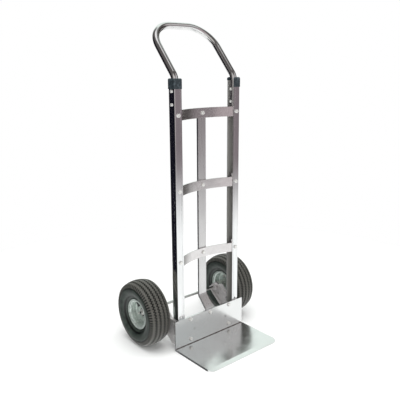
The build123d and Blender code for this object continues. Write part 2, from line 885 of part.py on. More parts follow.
def make_frame_fasteners():
    """Every bolt and nut set on the frame, as name: (bolts, nuts)."""
    handle = [bolt_and_nut(side_plane(rail_outer, tube_y, height),
                           rail_outer - tube_x + tube_radius, small_hex)
              for height in handle_bolt_heights]
    cross = [bolt_and_nut(front_plane(tube_x, rail_front, height), rail_depth)
             for height in band_heights]
    bracket = [bolt_and_nut(side_plane(bracket_outer, tube_y, height),
                            bracket_outer - web_inner + base_flange_thickness)
               for height in bracket_bolt_heights]
    heel = [bolt_and_nut(front_plane(heel_bolt_x, heel_front, height),
                         heel_thickness + base_thickness)
            for height in heel_bolt_heights]
    strap_grip = strap_front - band_center_y + strap_thickness - spot_depth
    strap = [bolt_and_nut(front_plane(0, band_center_y + spot_depth, height), strap_grip)
             for height in band_heights]
    strap.append(bolt_and_nut(front_plane(0, heel_front, tab_bolt_height),
                              heel_thickness + strap_thickness))
    sets = {}
    for name, pairs in (("handle", handle), ("cross_member", cross), ("bracket", bracket),
                        ("heel", heel)):
        sets[name] = (both_sides([bolt for bolt, nut in pairs]),
                      both_sides([nut for bolt, nut in pairs]))
    sets["strap"] = (grouped([bolt for bolt, nut in strap]),
                     grouped([nut for bolt, nut in strap]))
    return sets


# ---- Build and write every piece ----
def main():
    os.makedirs("parts", exist_ok=True)

    rail = make_rail()
    write(rail, "rail_right")
    write(mirrored(rail), "rail_left")
    cap = make_cap()
    write(cap, "rail_cap_right")
    write(mirrored(cap), "rail_cap_left")
    write(make_handle(), "handle_loop")

    for name, height in zip(("lower", "middle", "upper"), band_heights):
        write(make_cross_member(height), f"cross_member_{name}")
    write(make_strap(), "center_strap")
    write(make_base_member(), "base_cross_member")
    write(make_heel(), "heel_plate")
    write(make_toe(), "toe_plate")
    write(make_heel_weld(), "heel_weld")
    for name, (bolts, nuts) in make_frame_fasteners().items():
        write(bolts, f"{name}_bolts")
        write(nuts, f"{name}_nuts")

    bracket = make_bracket()
    write(bracket, "axle_bracket_right")
    write(mirrored(bracket), "axle_bracket_left")
    write(make_axle(), "axle")
    bore = axle_radius + axle_fit
    race_reach = hub_inner_end - side_gap
    write(both_sides([make_ring(boss_face, bore, spacer_radius, race_reach - boss_face)]),
          "axle_spacers")
    write(both_sides([make_ring(hub_outer_end + side_gap, bore, washer_radius,
                                washer_thickness)]), "axle_washers")
    write(both_sides([make_cotter()]), "cotter_pins")

    bearing_starts = (hub_inner_end, hub_outer_end - bearing_width)
    half_rim = make_half_rim()
    with BuildPart() as inner_half:
        mirror(half_rim, about=Plane.YZ.offset(wheel_center))
    rim_bolts, rim_nuts = make_rim_fasteners()
    inner_races = grouped([race_ring(start, bore, axle_radius + race_inner_wall)
                           for start in bearing_starts])
    wheel = {
        "tyre": make_tyre(),
        "inner_tube": make_inner_tube(),
        "valve_stem": make_valve(),
        "rim_outer": drill_valve_hole(half_rim),
        "rim_inner": inner_half.part,
        "rim_bolts": rim_bolts,
        "rim_nuts": rim_nuts,
        "hub": make_hub(),
        "bearing_inner_races": inner_races,
        "bearing_outer_races": grouped([
            race_ring(start, bearing_radius - race_outer_wall, bearing_radius)
            for start in bearing_starts]),
        "bearing_balls": grouped([make_balls(start) for start in bearing_starts]),
    }
    for name, piece in wheel.items():
        write(piece, f"{name}_right")
        write(mirrored(piece), f"{name}_left")


main()
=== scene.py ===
"""The looks of a two-wheel aluminium hand truck, built around its fixed CAD frame.

Every piece is in metres in the frame's own coordinates: +Z up, the nose plate towards -Y
and the axle along X. The classes below dress the frame's own nodes, and build the pieces
that need more detail than the frame holds: tyres, rim ridges, split pins, the weld bead
and a dark strip of painted shadow in the nose's joint.
"""

from __future__ import annotations

import logging
import math
from dataclasses import dataclass, field
from enum import Enum
from typing import Any, Iterable

import bmesh
import bpy
from mathutils import Matrix, Vector


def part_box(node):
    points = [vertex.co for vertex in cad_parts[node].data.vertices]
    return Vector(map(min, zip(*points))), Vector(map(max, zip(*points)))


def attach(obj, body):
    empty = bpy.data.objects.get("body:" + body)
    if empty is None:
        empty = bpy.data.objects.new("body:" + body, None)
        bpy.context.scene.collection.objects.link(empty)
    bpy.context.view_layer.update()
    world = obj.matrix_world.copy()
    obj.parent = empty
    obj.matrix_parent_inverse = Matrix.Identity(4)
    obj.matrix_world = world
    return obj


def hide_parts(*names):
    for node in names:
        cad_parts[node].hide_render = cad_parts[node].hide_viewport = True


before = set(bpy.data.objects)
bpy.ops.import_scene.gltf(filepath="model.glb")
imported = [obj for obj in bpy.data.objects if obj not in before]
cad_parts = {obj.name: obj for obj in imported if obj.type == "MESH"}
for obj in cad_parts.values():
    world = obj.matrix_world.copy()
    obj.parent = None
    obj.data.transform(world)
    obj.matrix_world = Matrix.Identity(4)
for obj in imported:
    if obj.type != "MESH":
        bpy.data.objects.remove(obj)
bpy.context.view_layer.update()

Tree = bpy.types.NodeTree
Node = bpy.types.Node
Socket = bpy.types.NodeSocket
Object = bpy.types.Object

LOG = logging.getLogger("hand_truck")
MM = 0.001


class Side(Enum):
    """The two sides of the truck, by the sign of X."""

    LEFT = -1
    RIGHT = 1

    @property
    def word(self) -> str:
        """The side as it ends a node's name."""
        return self.name.lower()


class Grain(Enum):
    """The way that a metal was drawn, rolled or turned."""

    ALONG_X = (1.0, 0.0, 0.0)
    ALONG_Y = (0.0, 1.0, 0.0)
    ALONG_Z = (0.0, 0.0, 1.0)
    NONE = (0.0, 0.0, 0.0)


# ---- Helpers for colours, nodes and meshes ----
def linear(code: str) -> tuple[float, float, float, float]:
    """Turns an sRGB hex colour into linear light.

    Args:
        code: The colour as "#rrggbb".

    Returns:
        Red, green and blue in linear light, and an alpha of 1.
    """
    channels = []
    for start in (1, 3, 5):
        value = int(code[start:start + 2], 16) / 255
        channels.append(value / 12.92 if value <= 0.04045 else ((value + 0.055) / 1.055) ** 2.4)
    return (channels[0], channels[1], channels[2], 1.0)


def add_node(
    tree: Tree,
    kind: str,
    settings: dict[str, Any] | None = None,
    values: dict[str | int, Any] | None = None,
    links: dict[str | int, Socket] | None = None,
) -> Node:
    """Adds one shader node with its settings and links.

    Args:
        tree: The node tree to add to.
        kind: The node's Blender type name.
        settings: Attributes of the node itself.
        values: Values for unlinked input sockets, by name or index.
        links: Output sockets to link to inputs, by name or index.

    Returns:
        The new node.
    """
    node = tree.nodes.new(kind)
    for name, value in (settings or {}).items():
        setattr(node, name, value)
    for name, value in (values or {}).items():
        node.inputs[name].default_value = value
    for name, socket in (links or {}).items():
        tree.links.new(socket, node.inputs[name])
    return node


def feed(shader: Node, name: str, source: Socket) -> None:
    """Links a socket into the shader's input of that name."""
    shader.id_data.links.new(source, shader.inputs[name])


def compute(operation: str, *terms: Socket | float) -> Socket:
    """Adds one math node over sockets and plain numbers, in the sockets' own tree.

    Args:
        operation: The math node's operation.
        terms: Its inputs in order, each a socket to link or a number to set.

    Returns:
        The result's socket.
    """
    tree = next(term.id_data for term in terms if not isinstance(term, float))
    node = add_node(tree, "ShaderNodeMath", {"operation": operation})
    for index, term in enumerate(terms):
        if isinstance(term, float):
            node.inputs[index].default_value = term
        else:
            tree.links.new(term, node.inputs[index])
    return node.outputs[0]


def blend(amount: Socket, base: Socket | tuple[float, ...],
          other: Socket | tuple[float, ...]) -> Socket:
    """Mixes two colours by an amount, in the amount's own tree.

    Args:
        amount: How far the other colour takes over, 0 to 1.
        base: The first colour, as a socket or in linear light.
        other: The second colour, likewise.

    Returns:
        The mixed colour's socket.
    """
    tree = amount.id_data
    node = add_node(tree, "ShaderNodeMix", {"data_type": "RGBA"}, links={0: amount})
    for index, color in ((6, base), (7, other)):
        if isinstance(color, tuple):
            node.inputs[index].default_value = color
        else:
            tree.links.new(color, node.inputs[index])
    return node.outputs[2]


def mesh_object(name: str, verts: list[Vector], faces: list[tuple[int, ...]],
                smooth: bool = True) -> Object:
    """Makes a mesh object with outward normals and links it to the scene.

    Args:
        name: The object's name.
        verts: Corner points, in metres.
        faces: Faces as tuples of corner numbers.
        smooth: Whether faces are shaded smooth.

    Returns:
        The new object.
    """
    mesh = bpy.data.meshes.new(name)
    mesh.from_pydata(verts, [], faces)
    work = bmesh.new()
    work.from_mesh(mesh)
    bmesh.ops.recalc_face_normals(work, faces=work.faces)
    work.to_mesh(mesh)
    work.free()
    for polygon in mesh.polygons:
        polygon.use_smooth = smooth
    obj = bpy.data.objects.new(name, mesh)
    bpy.context.scene.collection.objects.link(obj)
    return obj


def dress(nodes: Iterable[str], finish: "Finish") -> None:
    """Gives the finish to each named node of the frame.

    Args:
        nodes: Names of the frame's nodes.
        finish: The finish that they take.
    """
    material = finish.material()
    for name in nodes:
        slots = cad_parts[name].data.materials
        slots.clear()
        slots.append(material)
        LOG.info("%s is dressed in %s", name, material.name)


# ---- Finishes ----
@dataclass(frozen=True)
class Finish:
    """A surface finish: a base colour with its gloss, and detail added by each kind.

    Attributes:
        name: What the finish is called.
        color: Base colour as an sRGB hex value.
        roughness: Middle roughness of the surface.
        metallic: How far the surface mirrors as bare metal, 0 to 1.
        edge_mm: Radius that edges appear to be broken to.
    """

    name: str
    color: str
    roughness: float
    metallic: float = 0.0
    edge_mm: float = 0.5

    def material(self) -> bpy.types.Material:
        """The Blender material, made once and then reused."""
        found = bpy.data.materials.get(self.name)
        if found:
            return found
        material = bpy.data.materials.new(self.name)
        material.use_nodes = True
        tree = material.node_tree
        tree.nodes.clear()
        shader = add_node(tree, "ShaderNodeBsdfPrincipled", values={
            "Base Color": linear(self.color),
            "Roughness": self.roughness,
            "Metallic": self.metallic,
        })
        add_node(tree, "ShaderNodeOutputMaterial", links={"Surface": shader.outputs[0]})
        place = add_node(tree, "ShaderNodeTexCoord").outputs["Object"]
        self.detail(shader, place)
        return material

    def detail(self, shader: Node, place: Socket) -> None:
        """Adds the finish's own colour, roughness and relief to the shader."""

    def noise(self, place: Socket, size_mm: float,
              stretch: tuple[float, float, float] = (1.0, 1.0, 1.0),
              levels: float = 3.0) -> Socket:
        """Noise whose lumps are about size_mm across.

        Args:
            place: Position in metres.
            size_mm: Size of a lump in millimetres.
            stretch: How many times longer a lump is along each axis.
            levels: Levels of finer detail.

        Returns:
            The noise value, 0 to 1 with a middle of 0.5.
        """
        per_metre = 1 / (size_mm * MM)
        scale = tuple(per_metre / share for share in stretch)
        tree = place.id_data
        mapped = add_node(tree, "ShaderNodeMapping", values={"Scale": scale},
                          links={"Vector": place})
        made = add_node(tree, "ShaderNodeTexNoise",
                        values={"Scale": 1.0, "Detail": levels, "Roughness": 0.55},
                        links={"Vector": mapped.outputs[0]})
        return made.outputs[0]

    def spread(self, value: Socket, low: float, high: float,
               start: float = 0.3, stop: float = 0.7) -> Socket:
        """Maps a value between start and stop onto low to high, clamped."""
        made = add_node(value.id_data, "ShaderNodeMapRange", values={
            "From Min": start, "From Max": stop, "To Min": low, "To Max": high,
        }, links={"Value": value})
        return made.outputs[0]

    def tint(self, shader: Node, amount: Socket, other: str) -> Socket:
        """Mixes the base colour towards another hex colour by an amount, and links it."""
        mixed = blend(amount, linear(self.color), linear(other))
        feed(shader, "Base Color", mixed)
        return mixed

    def relief(self, shader: Node, heights: Iterable[tuple[Socket, float]]) -> None:
        """Adds bump from each (height, depth in millimetres), over broken edges."""
        tree = shader.id_data
        normal = add_node(tree, "ShaderNodeBevel", {"samples": 4},
                          values={"Radius": self.edge_mm * MM}).outputs[0]
        for height, depth_mm in heights:
            bump = add_node(tree, "ShaderNodeBump",
                            values={"Strength": 1.0, "Distance": depth_mm * MM},
                            links={"Height": height, "Normal": normal})
            normal = bump.outputs[0]
        feed(shader, "Normal", normal)


@dataclass(frozen=True)
class DrawnMetal(Finish):
    """Metal pulled through a die or rolled: fine lines run the length of the piece.

    The real lines are a few hundredths of a millimetre apart, too fine to show, so they
    are drawn line_mm apart. They stretch the highlights along the piece.

    Attributes:
        grain: The way that the lines run.
        line_mm: Distance between lines.
        line_depth_mm: Depth of the lines.
        stretch: How many times longer than wide a line is.
        patch_mm: Size of the patches of haze.
        patch_depth_mm: How far the surface waves from patch to patch.
        rub_mm: Spacing of the long rubs.
        haze: Colour of the thin oxide haze that dulls it in patches.
        haze_share: How far the haze takes over where it is thickest.
        roughness_swing: How far the roughness moves either side of its middle.
    """

    grain: Grain = Grain.ALONG_Z
    line_mm: float = 0.7
    line_depth_mm: float = 0.004
    stretch: float = 60.0
    patch_mm: float = 45.0
    patch_depth_mm: float = 0.05
    rub_mm: float = 3.2
    haze: str = "#b8b9ba"
    haze_share: float = 0.5
    roughness_swing: float = 0.05

    def detail(self, shader: Node, place: Socket) -> None:
        """Adds die lines, patches of haze and a few long scratches."""
        lines = self.noise(place, self.line_mm, self.along(self.stretch), 2.0)
        patches = self.noise(place, self.patch_mm, self.along(self.stretch / 20), 4.0)
        rub = self.noise(place, self.rub_mm, self.along(self.stretch / 3), 5.0)
        self.tint(shader, self.spread(patches, 0.0, self.haze_share), self.haze)
        low, high = (self.roughness - self.roughness_swing, self.roughness + self.roughness_swing)
        both = compute("MULTIPLY", self.spread(patches, 0.6, 1.0),
                       self.spread(rub, 0.4, 1.0))
        rough = self.spread(both, low, high, 0.25, 0.95)
        feed(shader, "Roughness", rough)
        self.relief(shader, ((lines, self.line_depth_mm), (patches, self.patch_depth_mm)))

    def along(self, times: float) -> tuple[float, ...]:
        """How much longer marks are along each axis, for marks stretched along the grain."""
        return tuple(1 + times * share for share in self.grain.value)


@dataclass(frozen=True)
class ExtrudedRail(DrawnMetal):
    """The rail's extrusion: a bright outside over a mill-finish inside.

    The bright dip and the buffing wheel only reach the outside of the channel, so its
    inside stays as it left the die, rough and grey. The outer web is crowned by a hair,
    which bends the reflections from its front edge to its rear one.

    Attributes:
        mill_color: Colour of the unpolished inside.
        mill_roughness: Roughness of the unpolished inside.
        mill_metallic: How bare the inside's oxide skin leaves the metal.
        crown_mm: Height of the web's crown.
        skin_mm: How deep the polished outside is taken to reach.
    """

    mill_color: str = "#b4b3b0"
    mill_roughness: float = 0.6
    mill_metallic: float = 0.5
    crown_mm: float = 0.9
    skin_mm: float = 2.0

    def detail(self, shader: Node, place: Socket) -> None:
        """Adds the drawn lines, the mill-finish inside and the crown of the web."""
        tree = shader.id_data
        DrawnMetal.detail(self, shader, place)
        low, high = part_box("rail_right")
        skin = self.skin_mm * MM
        middle, half = (low.y + high.y) / 2, (high.y - low.y) / 2
        parts = add_node(tree, "ShaderNodeSeparateXYZ", links={0: place})
        across = compute("ABSOLUTE", parts.outputs[0])
        along = compute("SUBTRACT", parts.outputs[1], middle)
        inside = compute(
            "MULTIPLY", compute("LESS_THAN", across, high.x - skin),
            compute("LESS_THAN", compute("ABSOLUTE", along), half - skin))
        color = blend(inside, shader.inputs["Base Color"].links[0].from_socket,
                      linear(self.mill_color))
        feed(shader, "Base Color", color)
        outside = shader.inputs["Roughness"].links[0].from_socket
        rough = add_node(tree, "ShaderNodeMix", {"data_type": "FLOAT"},
                         values={3: self.mill_roughness}, links={0: inside, 2: outside})
        feed(shader, "Roughness", rough.outputs[0])
        metal = self.spread(inside, 1.0, self.mill_metallic, 0.0, 1.0)
        feed(shader, "Metallic", metal)
        share = compute("DIVIDE", along, half)
        bump = add_node(tree, "ShaderNodeBump", {"invert": True},
                        values={"Strength": 1.0, "Distance": self.crown_mm * MM},
                        links={"Height": compute("MULTIPLY", share, share),
                               "Normal": shader.inputs["Normal"].links[0].from_socket})
        feed(shader, "Normal", bump.outputs[0])


@dataclass(frozen=True)
class PolishedPlate(Finish):
    """Rolled aluminium plate, buffed bright, then scuffed by the loads that slide on it.

    Buffing leaves a near mirror with a slow ripple, which bends what it reflects. Scuffs
    are hairlines that cross each other at two slants.

    Attributes:
        scuff: Colour of the scuffed metal.
        scuff_mm: Spacing of the hairlines, drawn coarser than real ones.
        ripple_mm: Width of the slow ripple.
        scuff_share: How far the scuffs take over.
        slants: The two turns of the hairlines, in radians.
        cloud_mm: Size of the cloudy handling marks.
        ripple_depth_mm: Height of the slow ripple.
        hair_depth_mm: Depth of the hairlines.
    """

    scuff: str = "#a9aaaa"
    scuff_mm: float = 1.1
    ripple_mm: float = 60.0
    scuff_share: float = 0.25
    slants: tuple[float, float] = (0.5, -0.7)
    cloud_mm: float = 38.0
    ripple_depth_mm: float = 0.08
    hair_depth_mm: float = 0.002

    def detail(self, shader: Node, place: Socket) -> None:
        """Adds the ripple, two sets of hairlines and cloudy handling marks."""
        tree = shader.id_data
        hairs = []
        for slant in self.slants:
            turned = add_node(tree, "ShaderNodeMapping", values={"Rotation": (slant, slant, slant)},
                              links={"Vector": place})
            hairs.append(self.noise(turned.outputs[0], self.scuff_mm, (40.0, 1.0, 1.0), 2.0))
        crossed = compute("MAXIMUM", *hairs)
        cloud = self.noise(place, self.cloud_mm, levels=5.0)
        marks = compute("MULTIPLY", self.spread(crossed, 0.0, 1.0, 0.55, 0.75),
                        self.spread(cloud, 0.15, 1.0))
        self.tint(shader, self.spread(marks, 0.0, self.scuff_share, 0.0, 1.0),
                  self.scuff)
        rough = compute(
            "ADD", self.spread(cloud, self.roughness * 0.85, self.roughness * 1.2),
            self.spread(marks, 0.0, 0.08, 0.0, 1.0))
        feed(shader, "Roughness", rough)
        ripple = self.noise(place, self.ripple_mm, levels=1.0)
        self.relief(shader, ((ripple, self.ripple_depth_mm), (crossed, self.hair_depth_mm)))


@dataclass(frozen=True)
class CastMetal(Finish):
    """Aluminium cast in a mould and tumbled: a fine pebbled skin, duller in the hollows.

    Attributes:
        hollow: Colour of the grey skin that tumbling doesn't reach.
        grit_mm: Size of the pebbles in the skin.
        grit_depth_mm: Depth of the skin.
        cloud_mm: Size of the slow unevenness under the skin.
        cloud_depth_mm: Height of the slow unevenness.
    """

    hollow: str = "#7d7b7a"
    grit_mm: float = 1.6
    grit_depth_mm: float = 0.06
    cloud_mm: float = 24.0
    cloud_depth_mm: float = 0.25

    def detail(self, shader: Node, place: Socket) -> None:
        """Adds the pebbled skin and the grey of its hollows."""
        grit = self.noise(place, self.grit_mm, levels=4.0)
        cloud = self.noise(place, self.cloud_mm, levels=3.0)
        amount = compute("MULTIPLY", self.spread(grit, 1.0, 0.0),
                         self.spread(cloud, 0.3, 0.9))
        self.tint(shader, amount, self.hollow)
        rough = self.spread(grit, self.roughness + 0.1, self.roughness - 0.08)
        feed(shader, "Roughness", rough)
        self.relief(shader, ((cloud, self.cloud_depth_mm), (grit, self.grit_depth_mm)))


@dataclass(frozen=True)
class ZincPlate(Finish):
    """Steel with bright zinc plating: a pale, faintly blue or yellow bloom over the metal.

    Attributes:
        bloom: Colour of the passivated bloom.
        bloom_mm: Size of the bloom's patches.
        grain_mm: Size of the plating's grains.
        grain_depth_mm: Depth between the grains.
    """

    bloom: str = "#c6c5be"
    bloom_mm: float = 5.0
    grain_mm: float = 0.5
    grain_depth_mm: float = 0.006

    def detail(self, shader: Node, place: Socket) -> None:
        """Adds the bloom and a slightly uneven gloss."""
        patches = self.noise(place, self.bloom_mm, levels=4.0)
        grain = self.noise(place, self.grain_mm, levels=2.0)
        self.tint(shader, self.spread(patches, 0.0, 0.7), self.bloom)
        rough = self.spread(patches, self.roughness - 0.07, self.roughness + 0.1)
        feed(shader, "Roughness", rough)
        self.relief(shader, ((grain, self.grain_depth_mm),))


@dataclass(frozen=True)
class SprayedEnamel(Finish):
    """Pressed steel under silver-grey stoving enamel.

    The coat has a soft orange-peel ripple, and floor dust and handling leave a darker film
    in patches.

    Attributes:
        film: Colour of the dirt film.
        film_mm: Size of the film's patches.
        film_depth_mm: How far the film stands out.
        peel_mm: Width of the orange-peel lumps.
        peel_depth_mm: Depth of the orange peel.
        coat: Strength of the clear gloss over the colour.
        coat_roughness: Roughness of the clear gloss.
    """

    film: str = "#6a756f"
    film_mm: float = 10.0
    film_depth_mm: float = 0.02
    peel_mm: float = 3.0
    peel_depth_mm: float = 0.03
    coat: float = 0.4
    coat_roughness: float = 0.12

    def detail(self, shader: Node, place: Socket) -> None:
        """Adds orange peel and the film of dirt."""
        shader.inputs["Coat Weight"].default_value = self.coat
        shader.inputs["Coat Roughness"].default_value = self.coat_roughness
        film = self.noise(place, self.film_mm, levels=6.0)
        peel = self.noise(place, self.peel_mm, levels=1.0)
        self.tint(shader, self.spread(film, 0.05, 0.5, 0.35, 0.7), self.film)
        rough = self.spread(film, self.roughness - 0.05, self.roughness + 0.15)
        feed(shader, "Roughness", rough)
        self.relief(shader, ((peel, self.peel_depth_mm), (film, self.film_depth_mm)))


@dataclass(frozen=True)
class MouldedPlastic(Finish):
    """Injection-moulded polyethylene with a fine matt texture from the mould's walls.

    Attributes:
        scuff: Paler colour where the plastic is rubbed.
        texture_mm: Spacing of the mould's texture, drawn coarse enough to show.
        texture_depth_mm: Depth of the texture.
        rub_mm: Size of the rubbed patches.
        rub_depth_mm: Depth of the rubbed patches.
    """

    scuff: str = "#59646a"
    texture_mm: float = 0.9
    texture_depth_mm: float = 0.03
    rub_mm: float = 9.0
    rub_depth_mm: float = 0.02

    def detail(self, shader: Node, place: Socket) -> None:
        """Adds the mould texture and rubbed patches."""
        texture = self.noise(place, self.texture_mm, levels=2.0)
        rub = self.noise(place, self.rub_mm, levels=5.0)
        self.tint(shader, self.spread(rub, 0.0, 0.8, 0.48, 0.75), self.scuff)
        rough = self.spread(rub, self.roughness + 0.08, self.roughness - 0.1)
        feed(shader, "Roughness", rough)
        self.relief(shader, ((texture, self.texture_depth_mm), (rub, self.rub_depth_mm)))


@dataclass(frozen=True)
class MouldedRubber(Finish):
    """Vulcanised rubber: matt black-green, greyed by bloom and floor dust.

    Dust greys it in clouds all over. The grooves, the shoulder's notches, the rings on the sidewall
    and the hidden inner face take painted shade towards the pit colour, where the mesh carries a
    "groove" attribute.

    Attributes:
        dust: Colour of bloom and dust.
        pit: Colour of the painted shade at the bottom of the grooves and rings.
        worn: Colour of the tread where the floor scrubs it.
        cloud_mm: Size of the clouds of dust.
        cloud_depth_mm: How far the clouds of dust stand out.
        scrub_mm: Size of the marks where the floor scrubs the tread.
        skin_mm: Size of the moulded skin's lumps.
        skin_depth_mm: Depth of the moulded skin.
        uses_grooves: Whether the mesh has the painted groove shade and wear attributes.
    """

    dust: str = "#70756f"
    pit: str = "#0d100f"
    worn: str = "#5c5954"
    cloud_mm: float = 14.0
    cloud_depth_mm: float = 0.05
    scrub_mm: float = 5.0
    skin_mm: float = 0.8
    skin_depth_mm: float = 0.04
    uses_grooves: bool = False

    def detail(self, shader: Node, place: Socket) -> None:
        """Adds dust, painted shade in the grooves and the moulded skin."""
        tree = shader.id_data
        cloud = self.noise(place, self.cloud_mm, levels=6.0)
        skin = self.noise(place, self.skin_mm, levels=3.0)
        color = self.tint(shader, self.spread(cloud, 0.05, 0.6, 0.35, 0.7), self.dust)
        if self.uses_grooves:
            wear = add_node(tree, "ShaderNodeAttribute", {"attribute_name": "wear"})
            scrub = self.noise(place, self.scrub_mm, levels=4.0)
            amount = compute("MULTIPLY", wear.outputs["Fac"],
                             self.spread(scrub, 0.45, 1.0))
            worn = blend(amount, color, linear(self.worn))
            # Painted shade: the mesh's groove value darkens grooves, notches, rings and inner face
            # towards the pit colour.
            groove = add_node(tree, "ShaderNodeAttribute", {"attribute_name": "groove"})
            painted_shade = blend(groove.outputs["Fac"], worn, linear(self.pit))
            feed(shader, "Base Color", painted_shade)
        rough = self.spread(cloud, self.roughness - 0.08, self.roughness + 0.1)
        feed(shader, "Roughness", rough)
        self.relief(shader, ((cloud, self.cloud_depth_mm), (skin, self.skin_depth_mm)))


# Extruded 6063 aluminium rail, bright dipped: a long clean mirror with die lines.
RAIL_METAL = ExtrudedRail("bright_extruded_aluminium", "#ececed", 0.11, 1.0, 0.8,
                          haze="#d2d3d3")
# Drawn aluminium tube, buffed: softer highlights that run round the bends.
TUBE_METAL = DrawnMetal("buffed_aluminium_tube", "#e2e1e1", 0.14, 1.0, 0.4,
                        grain=Grain.NONE, line_mm=1.4, line_depth_mm=0.003)
# Rolled aluminium strip: satin, with lines along the strap.
STRAP_METAL = DrawnMetal("rolled_aluminium_strip", "#dcdbdb", 0.3, 1.0, 0.5, haze="#c4c3c3")
# Rolled strip for the base member, with its lines across the truck.
BASE_METAL = DrawnMetal("rolled_aluminium_base", "#c9c9ca", 0.27, 1.0, 0.5,
                        grain=Grain.ALONG_X)
# Permanent-mould cast aluminium, polished on its face: grey with soft bright edges.
BAND_METAL = CastMetal("cast_aluminium_band", "#e9e6e6", 0.23, 1.0, 1.0,
                       hollow="#c9c6c6", grit_mm=1.3, grit_depth_mm=0.02)
# The same alloy left as cast: duller, with a warm grey skin.
BRACKET_METAL = CastMetal("cast_aluminium_bracket", "#dcd9d9", 0.42, 0.4, 0.9,
                          hollow="#8b8685", grit_mm=1.7, grit_depth_mm=0.07)
# Buffed 5052 aluminium plate: a mirror that scuffs.
PLATE_METAL = PolishedPlate("buffed_aluminium_plate", "#e5e5e5", 0.21, 1.0, 1.2)
# Gas-shielded weld in aluminium: bright ripples with a sooty edge.
WELD_METAL = CastMetal("aluminium_weld_bead", "#a6a5a3", 0.38, 1.0, 0.3,
                       hollow="#55524f", grit_mm=0.9, grit_depth_mm=0.05)
# Painted shadow in the joint between heel and toe plates: a dark, brown, dull strip.
JOINT_SHADOW_PAINT = MouldedPlastic("painted_joint_shadow", "#3f3734", 0.8, 0.0, 0.3,
                            scuff="#5a504b")
# Cold-drawn steel shaft: bright and even, with fine lines along it.
AXLE_METAL = DrawnMetal("cold_drawn_steel", "#e4e4e2", 0.15, 1.0, 0.3,
                        grain=Grain.ALONG_X, haze="#a9aaa6")
# Turned and ground bearing steel: dark, very smooth rings.
BEARING_METAL = DrawnMetal("ground_bearing_steel", "#9b9da0", 0.16, 1.0, 0.2,
                           grain=Grain.NONE, line_mm=0.5, line_depth_mm=0.002)
# Zinc-plated bolts, nuts, washers and pins: pale with a faint warm bloom.
FASTENER_ZINC = ZincPlate("bright_zinc_plate", "#f0f0ee", 0.28, 0.55, 0.35,
                         bloom="#d9d8d2")
# Hub tube: zinc-plated steel, a little duller than the bolts.
HUB_ZINC = ZincPlate("plated_steel_tube", "#e3e6e2", 0.28, 0.8, 0.5, bloom="#c3c7be",
                     bloom_mm=8.0)
# Stoved silver-grey enamel on the pressed rims.
RIM_ENAMEL = SprayedEnamel("silver_grey_enamel", "#e2ece6", 0.3, 0.6, 0.7)
# Moulded polyethylene rail caps in slate.
CAP_PLASTIC = MouldedPlastic("moulded_slate_polyethylene", "#273035", 0.42, 0.0, 1.0)
# Vulcanised tyre rubber with floor dust, and painted shade in its grooves and rings.
TYRE_RUBBER = MouldedRubber("vulcanised_tyre_rubber", "#202624", 0.42, 0.0, 0.4,
                            dust="#4c584f", pit="#020302", uses_grooves=True)
# Butyl rubber of the tube and valve stem.
BUTYL_RUBBER = MouldedRubber("butyl_rubber", "#1c1e1d", 0.5, 0.0, 0.4, dust="#3b3d3c")


# ---- The frame: rails, caps, handle, bands and strap ----
@dataclass
class UprightFrame:
    """Rails, caps, handle loop, cross members, strap and base member."""

    rails: tuple[str, ...] = ("rail_left", "rail_right")
    caps: tuple[str, ...] = ("rail_cap_left", "rail_cap_right")
    bands: tuple[str, ...] = ("cross_member_lower", "cross_member_middle",
                              "cross_member_upper")

    def build(self) -> None:
        """Dresses every piece of the upright frame."""
        dress(self.rails, RAIL_METAL)
        dress(self.caps, CAP_PLASTIC)
        dress(("handle_loop",), TUBE_METAL)
        dress(self.bands, BAND_METAL)
        dress(("center_strap",), STRAP_METAL)
        dress(("base_cross_member",), BASE_METAL)


